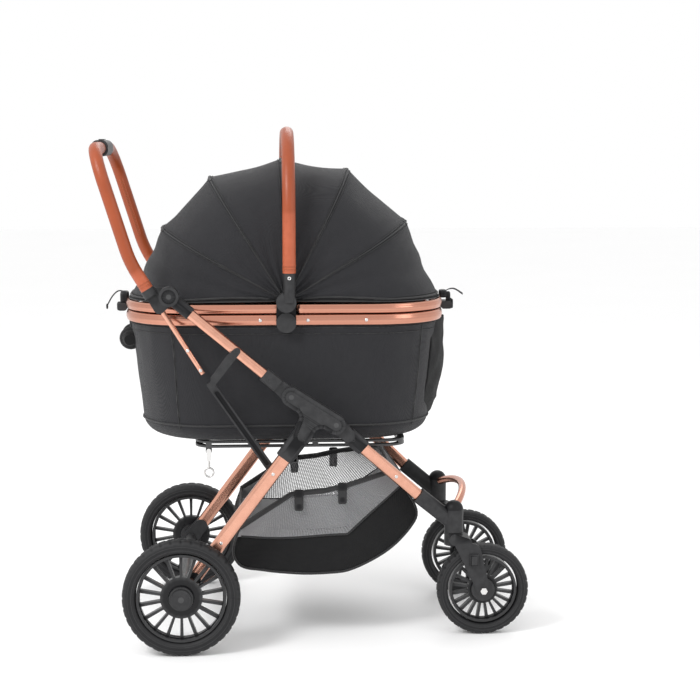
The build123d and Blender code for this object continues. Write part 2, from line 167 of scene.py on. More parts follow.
COPPER = finish_of("rose copper", (0.52, 0.235, 0.165), 0.24, 0.05, 3.0, 0.5,
                   [("noise", 900.0, 0.00004)], 1.0)
PLASTIC = finish_of("moulded black plastic", (0.0060, 0.0060, 0.0070), 0.44, 0.15, 9.0, 0.6,
                    [("cells", 900.0, 0.00008), ("noise", 160.0, 0.0001)], Specular_IOR_Level=0.16)
PLASTIC_SMOOTH = finish_of("satin black plastic", (0.0060, 0.0060, 0.0070), 0.32, 0.12, 9.0, 0.5,
                           [("noise", 260.0, 0.00008)], Specular_IOR_Level=0.28)
STEEL = finish_of("plated steel", (0.62, 0.61, 0.60), 0.26, 0.06, 30.0, 0.2,
                  [("noise", 700.0, 0.00005)], 1.0)
BLACK_STEEL = finish_of("black lacquered steel", (0.008, 0.008, 0.009), 0.36, 0.1, 12.0, 0.6,
                        [("noise", 320.0, 0.00008)])
FABRIC = finish_of("charcoal polyester", (0.0120, 0.0120, 0.0145), 0.72, 0.14, 5.0, 0.0,
                   [("weave", 0.0011, 0.0003), ("noise", 55.0, 0.0006)], Sheen_Weight=0.12,
                   Sheen_Roughness=0.45, Specular_IOR_Level=0.35)
FABRIC_DARK = finish_of("black lining fabric", (0.0055, 0.0055, 0.006), 0.86, 0.14, 6.0, 0.0,
                        [("weave", 0.0014, 0.0003), ("noise", 60.0, 0.0006)], Sheen_Weight=0.06,
                        Specular_IOR_Level=0.3)
BINDING = finish_of("black ribbed binding", (0.009, 0.009, 0.010), 0.62, 0.15, 20.0, 0.0,
                    [("weave", 0.0017, 0.0004)], Sheen_Weight=0.15)
NET = finish_of("grey net yarn", (0.30, 0.30, 0.31), 0.70, 0.12, 20.0, 0.0,
                [("noise", 900.0, 0.0001)], Sheen_Weight=0.1)
# Grey lining colour raised well above its own tone: partly painted light that brightens the basket's inside,
# which lies in shade under the carrier.
PALE_LINING_AND_PAINTED_LIGHT = finish_of("grey lining lightened with painted light", (0.74, 0.74, 0.745), 0.80, 0.14, 12.0, 0.0,
                       [("weave", 0.0030, 0.0006)], Sheen_Weight=0.1)
FRONT_PANEL = finish_of("grey front fabric", (0.045, 0.045, 0.05), 0.80, 0.14, 9.0, 0.0,
                        [("weave", 0.0014, 0.0003), ("noise", 60.0, 0.0006)], Sheen_Weight=0.2)
TYRE = finish_of("foam rubber", (0.0100, 0.0100, 0.0110), 0.62, 0.18, 18.0, 0.4,
                 [("cells", 500.0, 0.0002), ("noise", 60.0, 0.0002)], Specular_IOR_Level=0.3)
LEATHER = finish_of("tan leather", (0.27, 0.052, 0.014), 0.38, 0.22, 14.0, 0.5,
                    [("cells", 520.0, 0.0003), ("noise", 60.0, 0.0005)], Specular_IOR_Level=0.35)
THREAD = finish_of("waxed thread", (0.30, 0.085, 0.03), 0.60, 0.2, 80.0, 0.0,
                   [("noise", 1500.0, 0.0001)])
FLOOR = finish_of("pale studio floor", (0.98, 0.98, 0.98), 0.85, 0.01, 1.5, 0.0,
                  [("noise", 40.0, 0.0001)])

SLOT_MATERIALS = {
    "copper_tube": COPPER,
    "black_plastic": PLASTIC,
    "button_plastic": PLASTIC_SMOOTH,
    "steel": STEEL,
    "black_steel": BLACK_STEEL,
    "wheel_plastic": PLASTIC_SMOOTH,
    "tyre": TYRE,
    "fabric_black": FABRIC,
    "mesh_fabric": FABRIC_DARK,
    "leather": LEATHER,
}
# Every CAD node gets its slot's material; the ones that a piece replaces are hidden.
for subpart in frame["record"]["subparts"]:
    cad_mesh = frame["nodes"][subpart["node"]].data
    cad_mesh.materials.clear()
    cad_mesh.materials.append(SLOT_MATERIALS[subpart["material_slot"]])


# ---------------------------------------------------------------- mesh building
BLOCK_CUTS = 7


def across(way):
    """Two unit vectors square to a direction."""
    way = way.normalized()
    side = way.cross(Vector((0, 1, 0)))
    if side.length < 0.3:
        side = way.cross(Vector((1, 0, 0)))
    side.normalize()
    return side, way.cross(side)


class Shape:
    """Collects the faces of one piece and turns them into an object."""

    def __init__(self):
        self.verts, self.faces, self.mats = [], [], []

    def grid(self, rows, mat=0, wrap=False):
        """A sheet through rows of points; mat is a number or a function of row and column."""
        first, width = len(self.verts), len(rows[0])
        for row in rows:
            self.verts += [Vector(p) for p in row]
        for i in range(len(rows) - 1):
            for j in range(width if wrap else width - 1):
                k = (j + 1) % width
                a, b = first + i * width, first + (i + 1) * width
                self.faces.append((a + j, a + k, b + k, b + j))
                self.mats.append(mat(i, j) if callable(mat) else mat)

    def cap(self, ring, mat=0, flip=False):
        first = len(self.verts)
        self.verts += [Vector(p) for p in ring]
        order = range(len(ring))
        self.faces.append([first + i for i in (reversed(order) if flip else order)])
        self.mats.append(mat)

    def tube(self, path, radius, mat=0, sides=8, flat=1.0):
        """A tube along points; flat below 1 squeezes its section."""
        rings = []
        for i, point in enumerate(path):
            way = path[min(i + 1, len(path) - 1)] - path[max(i - 1, 0)]
            u, v = across(way)
            turns = [2 * math.pi * k / sides for k in range(sides)]
            r = radius(i / (len(path) - 1)) if callable(radius) else radius
            rings.append([point + u * r * math.cos(t) + v * r * flat * math.sin(t) for t in turns])
        self.grid(rings, mat, wrap=True)
        self.cap(rings[0], mat)
        self.cap(rings[-1], mat, flip=True)

    def lathe(self, profile, origin, axis, mat=0, sides=20, ripple=None):
        """Turns (distance along axis, radius) points about an axis; ripple lowers a point's radius."""
        u, v = across(axis)
        rings = []
        for k, (height, radius) in enumerate(profile):
            ring = []
            for i in range(sides):
                turn = 2 * math.pi * i / sides
                r = radius - (ripple(k, i) if ripple else 0.0)
                ring.append(origin + axis * height + (u * math.cos(turn) + v * math.sin(turn)) * r)
            rings.append(ring)
        self.grid(rings, mat, wrap=True)

    def block(self, centre, half, mat=0, power=5.0):
        """A box with softly rounded edges, sharper with a higher power."""
        bm = bmesh.new()
        bmesh.ops.create_cube(bm, size=2.0)
        bmesh.ops.subdivide_edges(bm, edges=bm.edges[:], cuts=BLOCK_CUTS, use_grid_fill=True)
        first = len(self.verts)
        for v in bm.verts:
            size = sum(abs(c) ** power for c in v.co) ** (1 / power)
            self.verts.append(Vector(centre) + Vector([c / size * h for c, h in zip(v.co, half)]))
        for face in bm.faces:
            self.faces.append([first + v.index for v in face.verts])
            self.mats.append(mat)
        bm.free()

    def build(self, name, materials, body=None, thick=0.0, merge=0.0):
        """The finished piece, riding on its body when one is given."""
        mesh = bpy.data.meshes.new(name)
        mesh.from_pydata(self.verts, [], self.faces)
        for material in materials:
            mesh.materials.append(material)
        mesh.polygons.foreach_set("material_index", self.mats)
        mesh.polygons.foreach_set("use_smooth", [True] * len(mesh.polygons))
        bm = bmesh.new()
        bm.from_mesh(mesh)
        if merge:
            bmesh.ops.remove_doubles(bm, verts=bm.verts[:], dist=merge)
        bmesh.ops.recalc_face_normals(bm, faces=bm.faces[:])
        bm.to_mesh(mesh)
        bm.free()
        piece = bpy.data.objects.new(name, mesh)
        bpy.context.scene.collection.objects.link(piece)
        if thick:
            piece.modifiers.new("thickness", "SOLIDIFY").thickness = thick
        if body:
            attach(piece, body)
        return piece


def spline(points, steps):
    """Smooth line through the points, with a number of steps between each two."""
    points = [Vector(p) for p in points]
    line = []
    for i in range(len(points) - 1):
        p0, p1 = points[max(i - 1, 0)], points[i]
        p2, p3 = points[i + 1], points[min(i + 2, len(points) - 1)]
        for k in range(steps):
            t = k / steps
            line.append(0.5 * (2 * p1 + (p2 - p0) * t + (2 * p0 - 5 * p1 + 4 * p2 - p3) * t ** 2
                               + (3 * p1 - p0 - 3 * p2 + p3) * t ** 3))
    return line + [points[-1]]


def polyline(points, share):
    """The point at a share, 0 to 1, of the length of a list of points."""
    lengths = [(b - a).length for a, b in zip(points, points[1:])]
    left = share * sum(lengths)
    for a, b, length in zip(points, points[1:], lengths):
        if left <= length:
            return a.lerp(b, left / length)
        left -= length
    return points[-1].copy()


def circle(count):
    """Angles of a closed circle, the first one repeated at the end."""
    return [2 * math.pi * k / count for k in range(count + 1)]


def ruffle(point, scale, seed=0.0):
    """Smooth noise between about -1 and 1."""
    return noise.noise(Vector(point) * scale + Vector((seed, seed * 0.7, -seed)))


def rounded_plan(x0, x1, half_y, radius, count=160):
    """Points of a rounded rectangle in plan, counter-clockwise from the rear right corner."""
    radius = min(radius, half_y, (x1 - x0) / 2)
    centres = [(x1 - radius, half_y - radius), (x0 + radius, half_y - radius),
               (x0 + radius, radius - half_y), (x1 - radius, radius - half_y)]
    outline = []
    for corner, (cx, cy) in enumerate(centres):
        for k in range(13):
            turn = math.pi / 2 * (corner + k / 12)
            outline.append(Vector((cx + radius * math.cos(turn), cy + radius * math.sin(turn), 0)))
    outline.append(outline[0].copy())
    return [polyline(outline, i / count) for i in range(count)]


# ---------------------------------------------------------------- carrier tub
TUB_TOP, TUB_FLOOR = 0.652, 0.4108
TUB_EDGE = 0.034                       # radius between the wall and the floor
TUB_REAR, TUB_FRONT = -0.345, 0.243    # the floor's plan
TUB_HALF, TUB_CORNER = 0.173, 0.150
FLARE_REAR, FLARE_FRONT, FLARE_SIDE = 0.028, 0.024, 0.006
TUB_CENTRE = Vector((-0.05, 0, 0))
PLEATS, PLEAT_DEPTH = 46, 0.0010
EDGE_STEPS, WALL_STEPS, FLOOR_STEPS = 10, 26, 8
HEM_HEIGHTS = (0.644, 0.632)
SEAM_PLACES = (16, 64, 96, 144)        # of the 160 points of a ring


def tub_ring(z, inset=0.0):
    """Plan of the tub's cloth at a height: narrower and round-cornered towards the floor."""
    rise = (z - TUB_FLOOR) / (TUB_TOP - TUB_FLOOR)
    below = max(TUB_EDGE - (z - TUB_FLOOR), 0.0)
    inset += TUB_EDGE - math.sqrt(max(TUB_EDGE ** 2 - below ** 2, 0.0))
    ring = rounded_plan(TUB_REAR - FLARE_REAR * rise + inset, TUB_FRONT + FLARE_FRONT * rise - inset,
                        TUB_HALF + FLARE_SIDE * rise - inset, TUB_CORNER - inset * 0.6)
    for p in ring:
        out = (p - TUB_CENTRE).normalized()
        around = math.atan2(p.y, p.x - TUB_CENTRE.x)
        pleat = math.sin(around * PLEATS + 3 * ruffle((p.x, p.y, 0), 9)) * PLEAT_DEPTH * rise ** 3
        soft = ruffle((p.x, p.y, z), 11, 4.0) * 0.0022 + ruffle((p.x, p.y, z * 0.4), 34, 9.0) * 0.0008
        p += out * (pleat + soft * min(1.0, 3 * rise + 0.1))
        p.z = z
    return ring


def tub():
    shape = Shape()
    turns = [math.pi / 2 * k / EDGE_STEPS for k in range(EDGE_STEPS + 1)]
    levels = [TUB_FLOOR + TUB_EDGE * (1 - math.cos(turn)) for turn in turns]
    levels += [levels[-1] + (TUB_TOP - levels[-1]) * k / WALL_STEPS for k in range(1, WALL_STEPS + 1)]
    rings = [tub_ring(z) for z in levels]
    middle = sum(rings[0], Vector()) / len(rings[0])
    floor = [[middle.lerp(p, k / FLOOR_STEPS) for p in rings[0]] for k in range(1, FLOOR_STEPS)]
    shape.grid(floor + rings, 0, wrap=True)
    shape.cap(floor[0])
    return shape.build("carrier_tub", [FABRIC], "carrier", thick=0.0022)


def tub_trim():
    """Piping round the floor, corner seams and the two lines of the hem below the rim."""
    shape = Shape()
    ring = tub_ring(TUB_FLOOR + TUB_EDGE, -0.0012)
    shape.tube(ring + ring[:1], 0.0019)
    for z in HEM_HEIGHTS:
        hem = tub_ring(z, -0.0006)
        shape.tube(hem + hem[:1], 0.0007, sides=6)
    rings = [tub_ring(TUB_FLOOR + TUB_EDGE * 0.7 + 0.011 * k, -0.0004) for k in range(20)]
    for place in SEAM_PLACES:
        for step in (-0.0014, 0.0014):
            shape.tube([ring[place] + Vector((step, 0, 0)) for ring in rings], 0.0009, sides=6)
    return shape.build("carrier_tub_seams", [BINDING], "carrier")


# ---------------------------------------------------------------- covers at the tub's ends
FLAP_LAYERS = ((0.006, 0.452), (0.014, 0.447), (0.009, 0.470))    # (gap to the tub, lowest height)
FLAP_TOP, FLAP_RADIUS, FLAP_SPREAD = 0.650, 0.150, 1.35
FLAP_ROWS, FLAP_COLUMNS = 26, 40
ROLL_AT, ROLL_RADIUS, ROLL_LENGTH = Vector((-0.374, 0.062, 0.608)), 0.0175, 0.124
ROLL_STRAPS = (0.034, -0.034)


def flap_point(layer, i, j):
    """A point of one layer of the front flap: i counts down, j from side to side."""
    gap, low = FLAP_LAYERS[layer]
    share = i / FLAP_ROWS
    turn = (j / FLAP_COLUMNS - 0.5) * FLAP_SPREAD
    crown = math.cos(turn * 2.3)
    bulge = gap + 0.010 * math.sin(math.pi * share) + 0.004 * ruffle((j * 0.1, share * 3, layer), 2)
    reach = FLAP_RADIUS + bulge + 0.004 * crown * share - 0.020 * max(0.0, share - 0.86) / 0.14
    hem = 0.012 * crown if share > 0.9 else 0.0
    return (0.093 + 0.024 * (1 - share) + reach * math.cos(turn),
            FLAP_RADIUS * math.sin(turn) * 1.05,
            FLAP_TOP - (FLAP_TOP - low) * share - hem)


def front_flap():
    """Rolled window cover that hangs down the front end."""
    shape = Shape()
    for layer in range(len(FLAP_LAYERS)):
        shape.grid([[flap_point(layer, i, j) for j in range(FLAP_COLUMNS + 1)] for i in range(FLAP_ROWS + 1)])
    return shape.build("front_window_flap", [FABRIC_DARK], "carrier", thick=0.0016)


def rear_roll():
    """Rolled cover strapped below the rear end of the rim."""
    shape = Shape()
    line = [ROLL_AT + Vector((0, -ROLL_LENGTH * k / 16, 0.0015 * math.sin(k))) for k in range(17)]
    shape.tube(line, lambda t: ROLL_RADIUS * (1 - abs(2 * t - 1) ** 8 * 0.35), sides=22)
    around = ROLL_RADIUS + 0.002
    for y in ROLL_STRAPS:
        loop = [Vector((ROLL_AT.x + around * math.cos(a), y, ROLL_AT.z + around * math.sin(a)))
                for a in circle(24)]
        shape.tube(loop, 0.0042, 1, flat=0.3)
        shape.tube([Vector((-0.371, y, 0.624)), Vector((-0.373, y, 0.651))], 0.004, 1, flat=0.3)
    return shape.build("rear_rolled_cover", [FABRIC_DARK, BINDING], "carrier")


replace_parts(tub(), "carrier_body")
tub_trim()
front_flap()
rear_roll()


# ---------------------------------------------------------------- rims
RIM_REAR, RIM_FRONT = -0.3805, 0.2735
RIM_HALF, RIM_CORNER = 0.1845, 0.1485
RIM_WALL, RIM_EDGE, RIM_CROWN = 0.012, 0.0042, 0.0016
RIM_STEPS = 240
RIM_SPLIT = -0.034                     # the upper rim's halves meet here


def rim_section(node):
    """Closed section of a rim as (inset from the plan, height) points, its outer face crowned."""
    low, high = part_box(node)
    tall = high.z - low.z
    section = []
    corners = ((RIM_EDGE, RIM_EDGE, 2), (RIM_WALL - RIM_EDGE, RIM_EDGE, 3),
               (RIM_WALL - RIM_EDGE, tall - RIM_EDGE, 0), (RIM_EDGE, tall - RIM_EDGE, 1))
    for inset, rise, quarter in corners:
        for k in range(7):
            turn = math.pi / 2 * (quarter + k / 6)
            section.append((inset + RIM_EDGE * math.cos(turn), low.z + rise + RIM_EDGE * math.sin(turn)))
    for k in range(1, 8):
        share = k / 8
        z = low.z + tall - RIM_EDGE - (tall - 2 * RIM_EDGE) * share
        section.append((-RIM_CROWN * 4 * share * (1 - share), z))
    return section


def rim(node, name, body, keep):
    """A rim as a smooth bent tube; keep says which points of the plan belong to it."""
    plans = []
    for inset, z in rim_section(node):
        plan = rounded_plan(RIM_REAR + inset, RIM_FRONT - inset, RIM_HALF - inset,
                            RIM_CORNER - inset, RIM_STEPS)
        plans.append([Vector((p.x, p.y, z)) for p in plan])
    kept = [i for i in range(RIM_STEPS) if keep(plans[0][i])]
    gaps = [n for n in range(1, len(kept)) if kept[n] != kept[n - 1] + 1]
    if gaps:
        kept = kept[gaps[0]:] + kept[:gaps[0]]
    rows = [[plan[i] for plan in plans] for i in kept]
    shape = Shape()
    if len(kept) == RIM_STEPS:
        shape.grid(rows + rows[:1], wrap=True)
    else:
        shape.grid(rows, wrap=True)
        shape.cap(rows[0])
        shape.cap(rows[-1], flip=True)
    piece = shape.build(name, [COPPER], body, merge=0.00001)
    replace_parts(piece, node)


rim("lower_rim", "lower_rim_tube", "carrier", lambda p: True)
rim("upper_rim_rear", "upper_rim_rear_tube", "carrier", lambda p: p.x < RIM_SPLIT - 0.0005)
rim("upper_rim_front", "upper_rim_front_tube", "canopy", lambda p: p.x > RIM_SPLIT + 0.0005)


# ---------------------------------------------------------------- canopy
RIB_TIPS = [(-0.375, 0.6945), (-0.306, 0.837), (-0.208, 0.940), (-0.061, 0.977),
            (0.078, 0.957), (0.199, 0.850), (0.268, 0.6945)]
RIB_CORNER = 0.150
RIB_STEPS = 72
PANEL_STEPS = 14
CANOPY_HALF = 0.1805
CLOTH_SEED = 3.0


def rib_line(tip):
    """A hoop from the left hinge over a tip to the right hinge."""
    reach = Vector((tip[0], 0, tip[1])) - HINGE
    length = reach.length
    way = reach.normalized()
    radius = min(RIB_CORNER, length - 0.02)
    outline = [Vector((0, CANOPY_HALF, 0)), Vector((length - radius, CANOPY_HALF, 0))]
    for k in range(1, 17):
        turn = math.pi / 2 * k / 16
        outline.append(Vector((length - radius + radius * math.sin(turn),
                               CANOPY_HALF - radius + radius * math.cos(turn), 0)))
    outline.append(Vector((length, 0, 0)))
    half = [polyline(outline, k / (RIB_STEPS // 2)) for k in range(RIB_STEPS // 2 + 1)]
    flat = half + [Vector((p.x, -p.y, 0)) for p in reversed(half[:-1])]
    return [HINGE + way * p.x + Vector((0, p.y, 0)) for p in flat]


RIBS = [rib_line(tip) for tip in RIB_TIPS]


def lifted(point, height):
    """The point moved a little away from the hinge, to lie on the cloth."""
    return point + (point - HINGE).normalized() * height


def cloth_point(panel, t, j):
    """A point of the cloth between two ribs, slightly hollow and softly folded."""
    point = RIBS[panel][j].lerp(RIBS[panel + 1][j], t)
    inner = point - HINGE
    out = Vector((inner.x, inner.y * 0.55, inner.z)).normalized()
    lull = 4 * t * (1 - t)
    low = min(1.0, max(0.0, (0.905 - point.z) / 0.13))
    far = abs(j / RIB_STEPS - 0.5) * 2
    fold = math.sin(t * 15 + 7 * far + 2.2 * ruffle(point, 9, CLOTH_SEED)) * 0.0022 * low * lull
    soft = ruffle(point, 13, CLOTH_SEED) * 0.0032 * lull
    return point + out * (fold + soft - 0.0045 * lull)


def flap_edge(j):
    """How far down the last panel, 0 to 1, the curved hem of the top cloth lies."""
    far = abs(j / RIB_STEPS - 0.5) * 2
    return 0.955 - 0.30 * max(0.0, far - 0.50) ** 1.4 / 0.5 ** 1.4


def canopy_cloth(node, first, last, outer_panel):
    """The cloth over the panels first to last; below its curved hem the outer panel is lining."""
    rows, panels = [], []
    for panel in range(first, last):
        for k in range(PANEL_STEPS + (panel == last - 1)):
            rows.append([cloth_point(panel, k / PANEL_STEPS, j) for j in range(RIB_STEPS + 1)])
            panels.append((panel, (k + 0.5) / PANEL_STEPS))

    def cloth(i, j):
        panel, t = panels[i]
        down = t if outer_panel else 1 - t
        return 1 if panel == outer_panel and down > flap_edge(j) else 0

    shape = Shape()
    shape.grid(rows, cloth)
    piece = shape.build(node, [FABRIC, FABRIC_DARK], thick=0.0014, merge=0.0004)
    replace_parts(piece, node)
    return piece


def canopy_seams(node, first, last, outer_panel, ribs):
    """Piping over the ribs, a line of stitches on each side of it, and the curved hem."""
    shape = Shape()
    for rib in ribs:
        shape.tube([lifted(p, 0.0008) for p in RIBS[rib]][2:-2], 0.0012)
        for shift in (-1, 1):
            other = RIBS[min(max(rib + shift, first), last)]
            stitches = [p.lerp(q, 0.035) + (p - HINGE).normalized() * 0.0006
                        for p, q in zip(RIBS[rib], other)]
            shape.tube(stitches[5:-5], 0.0006, sides=5)
    hem = []
    for j in range(3, RIB_STEPS - 2):
        t = flap_edge(j) if outer_panel else 1 - flap_edge(j)
        hem.append(lifted(cloth_point(outer_panel, t, j), 0.0012))
    shape.tube(hem, 0.0019)
    return shape.build(node + "_seams", [BINDING])


def hoop_casings():
    """Doubled cloth over the top of each rear hoop."""
    shape = Shape()
    middle = RIB_STEPS // 2
    for rib in RIBS[1:4]:
        shape.tube([lifted(p, 0.0008) for p in rib[middle - 7: middle + 8]], 0.0024)
    return shape.build("canopy_rear_hoop_casings", [BINDING], "carrier")


rear_canopy = [canopy_cloth("canopy_rear", 0, 3, 0), canopy_seams("canopy_rear", 0, 3, 0, range(4))]
for part in rear_canopy:
    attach(part, "carrier")
front_canopy = [canopy_cloth("canopy_front", 3, 6, 5), canopy_seams("canopy_front", 3, 6, 5, range(4, 7))]
for part in front_canopy:
    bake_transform(part)
hoop_casings()


# ---------------------------------------------------------------- cushion in the carrier
CUSHION_CORNER, CUSHION_ROUND = 0.138, 0.011
CUSHION_SIDE_ROWS, CUSHION_TOP_ROWS = 12, 13
TUFTS = [(x, y) for x in (-0.19, -0.05, 0.09) for y in (-0.08, 0.08)]
TUFT_DEPTH, TUFT_SPREAD, CUSHION_CROWN = 0.007, 0.0006, 0.006


def cushion_sides(low, high):
    rows = []
    for k in range(CUSHION_SIDE_ROWS + 1):
        lean = math.pi * (k / CUSHION_SIDE_ROWS - 0.5)
        inset = CUSHION_ROUND * (1 - math.cos(lean)) + 0.0015
        ring = rounded_plan(low.x + inset, high.x - inset, high.y - inset, CUSHION_CORNER, 120)
        for p in ring:
            p.z = (low.z + high.z) / 2 + math.sin(lean) * (high.z - low.z) / 2
        rows.append(ring)
    return rows


def cushion_top(rim_points, middle):
    """Crowned top with tufts, as rings that shrink towards the middle."""
    rows = []
    for k in range(1, CUSHION_TOP_ROWS):
        share = k / CUSHION_TOP_ROWS
        ring = [p.lerp(Vector((middle.x, 0, p.z)), share) for p in rim_points]
        for q in ring:
            tuft = sum(math.exp(-((q.x - x) ** 2 + (q.y - y) ** 2) / TUFT_SPREAD) for x, y in TUFTS)
            crown = CUSHION_CROWN * math.sin(math.pi / 2 * share)
            q.z += crown - TUFT_DEPTH * tuft + 0.001 * ruffle(q, 20)
        rows.append(ring)
    return rows


def cushion():
    low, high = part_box("carrier_mat")
    middle = Vector(((low.x + high.x) / 2, 0, 0))
    sides = cushion_sides(low, high)
    top = cushion_top(sides[-1], middle)
    shape = Shape()
    shape.grid(sides + top, wrap=True)
    shape.cap(sides[0])
    shape.cap(top[-1], flip=True)
    for k in (3, 9):
        piping = [p + (p - middle).normalized() * 0.0004 for p in sides[k]]
        shape.tube(piping + piping[:1], 0.0016, 1)
    piece = shape.build("carrier_cushion", [FABRIC_DARK, BINDING], "carrier")
    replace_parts(piece, "carrier_mat")


cushion()


# ---------------------------------------------------------------- storage basket
BASKET_TOP = [Vector((x, 0, z)) for x, z in (
    (-0.150, 0.238), (-0.098, 0.272), (-0.045, 0.306), (0.020, 0.312), (0.090, 0.327), (0.161, 0.343))]
BASKET_LOW = spline([(x, 0, z) for x, z in (
    (-0.150, 0.238), (-0.164, 0.190), (-0.148, 0.158), (-0.105, 0.149), (-0.050, 0.142), (0.000, 0.140),
    (0.072, 0.145), (0.125, 0.163), (0.168, 0.187), (0.205, 0.224), (0.216, 0.252), (0.198, 0.292),
    (0.161, 0.343))], 6)
BASKET_HALF, TAPER_FROM, TAPER = 0.184, 0.06, 0.073 / 0.19
BASKET_COLUMNS, NET_ROWS, BAND_ROWS, FLOOR_COLUMNS = 84, 30, 10, 32
FRONT_PANEL_FROM = 0.15
BAND_TOP, BAND_BEND, BAND_CLIMB = 0.217, 0.070, 0.86
THREAD_THICKNESS = 0.0021
RAIL_RADIUS = 0.0056
TABS = ((-0.030, 0.307), (0.058, 0.320))    # (x, height of the rail)


def basket_half(x):
    """Half the basket's width at x."""
    return BASKET_HALF - TAPER * max(0.0, x - TAPER_FROM)


def side_point(share, v, side):
    """A point of a side panel: v is 0 at the rail and 1 at the floor."""
    p = polyline(BASKET_TOP, share).lerp(polyline(BASKET_LOW, share), v)
    p.y = side * (basket_half(p.x) - 0.006 * math.sin(math.pi * v) + 0.002 * ruffle(p, 18, side))
    return p


def band_share(share):
    """Where on a side panel the black lower band starts: level, then climbing to the front corner."""
    top, low = polyline(BASKET_TOP, share), polyline(BASKET_LOW, share)

    def above(v):
        p = top.lerp(low, v)
        return p.z - BAND_TOP - BAND_CLIMB * max(0.0, p.x - BAND_BEND) - 0.003 * math.sin(p.x * 24)

    if above(0.0) <= 0:
        return 0.0
    if above(1.0) >= 0:
        return 1.0
    start, end = 0.0, 1.0
    for _ in range(16):
        middle = (start + end) / 2
        if above(middle) > 0:
            start = middle
        else:
            end = middle
    return end


def side_rows(side, steps, start, end):
    """Rows of a side panel; start and end turn the band's share into where each row runs from and to."""
    rows = []
    for i in range(BASKET_COLUMNS + 1):
        share = i / BASKET_COLUMNS
        band = band_share(share)
        first, last = start(band), end(band)
        rows.append([side_point(share, first + (last - first) * j / steps, side) for j in range(steps + 1)])
    return rows


def basket_net():
    """Open net of the two side panels; its threads come from the wireframe."""
    shape = Shape()
    for side in SIDES:
        shape.grid(side_rows(side, NET_ROWS, lambda band: 0.0, lambda band: band))
    net = shape.build("storage_basket_net", [NET], "chassis")
    wires = net.modifiers.new("threads", "WIREFRAME")
    wires.thickness = THREAD_THICKNESS
    wires.use_even_offset = False
    wires.use_boundary = True
    return net


def basket_floor():
    """Rows of the cloth that runs down the rear, along the floor and up the front."""
    rows = []
    for i in range(BASKET_COLUMNS + 1):
        p = polyline(BASKET_LOW, i / BASKET_COLUMNS)
        half = basket_half(p.x)
        row = []
        for j in range(FLOOR_COLUMNS + 1):
            y = (2 * j / FLOOR_COLUMNS - 1) * half
            sag = 0.0018 * math.cos(math.pi / 2 * y / half) if 0.14 < p.z < 0.2 else 0.0
            row.append((p.x, y, p.z - sag + 0.0015 * ruffle((p.x, y, 1), 16)))
        rows.append(row)
    return rows


def basket_cloth():
    """Lower bands, floor, rear wall and grey front panel, with a pale lining inside; the lining's paleness is
    partly painted light that brightens the basket's shaded inside.
    """
    shape = Shape()
    for side in SIDES:
        shape.grid(side_rows(side, BAND_ROWS, lambda band: band, lambda band: 1.0))
    floor = basket_floor()
    shape.grid(floor, lambda i, j: 2 if floor[i][0][0] > FRONT_PANEL_FROM else 0)
    cloth = shape.build("storage_basket_cloth", [FABRIC_DARK, PALE_LINING_AND_PAINTED_LIGHT, FRONT_PANEL, FRONT_PANEL],
                        "chassis", thick=0.0016, merge=0.0006)
    # The inner face takes the pale lining, whose lightness is partly painted light.
    cloth.modifiers["thickness"].material_offset = 1
    return cloth


def basket_tab(shape, x, y, z):
    """Webbing tab over the rail, with its buckle and the end of its hook."""
    shape.block((x, y, z - 0.014), (0.0090, 0.0016, 0.021), 0, 8.0)
    shape.block((x, y, z + 0.001), (0.0100, 0.0030, 0.0085), 1, 4.0)
    shape.block((x, y, z - 0.026), (0.0060, 0.0026, 0.0060), 1, 4.0)


def basket_trim():
    """Rails, bindings and the short webbing tabs that hang the basket on the rails."""
    shape = Shape()
    for side in SIDES:
        rail = [polyline(BASKET_TOP, k / 60) for k in range(61)]
        for p in rail:
            p.y = side * basket_half(p.x)
        shape.tube(rail, RAIL_RADIUS, sides=12)
        shape.tube([side_point(k / 60, band_share(k / 60), side) + Vector((0, side * 0.0008, 0))
                    for k in range(5, 56)], 0.0022, flat=0.6)
        shape.tube([side_point(k / 90, 1.0, side) for k in range(91)], 0.0024)
        for x, z in TABS:
            basket_tab(shape, x, side * (basket_half(x) + 0.0045), z)
    for end in (BASKET_TOP[0], BASKET_TOP[-1]):
        half = basket_half(end.x)
        shape.tube([Vector((end.x, half * (2 * k / 24 - 1), end.z - 0.004 * math.sin(math.pi * k / 24)))
                    for k in range(25)], 0.0036)
    return shape.build("storage_basket_rails_and_straps", [BINDING, PLASTIC], "chassis")


basket = [basket_net(), basket_cloth(), basket_trim()]
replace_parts(basket[0], "storage_basket")
for part in basket:
    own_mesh(part)


# ---------------------------------------------------------------- tyres
BEAD_SHARE = 0.765                     # inner radius as a share of the outer one
TYRE_SIDES, SECTION_STEPS, SECTION_POWER = 288, 36, 3.2
TREAD_DEPTH, GROOVE_DEPTH, TREAD_PITCH = 0.0012, 0.0011, 8
SIDEWALL_RIBS = (0.90, 0.84)


def tyre_section(mid, tall, half):
    """Squarish rounded section as (distance along the axis, radius) points."""
    section = []
    for k in range(SECTION_STEPS + 1):
        turn = 2 * math.pi * k / SECTION_STEPS
        c, s = math.cos(turn), math.sin(turn)
        scale = (abs(c) ** SECTION_POWER + abs(s) ** SECTION_POWER) ** (-1 / SECTION_POWER)
        section.append((half * s * scale, mid + tall * c * scale))
    return section


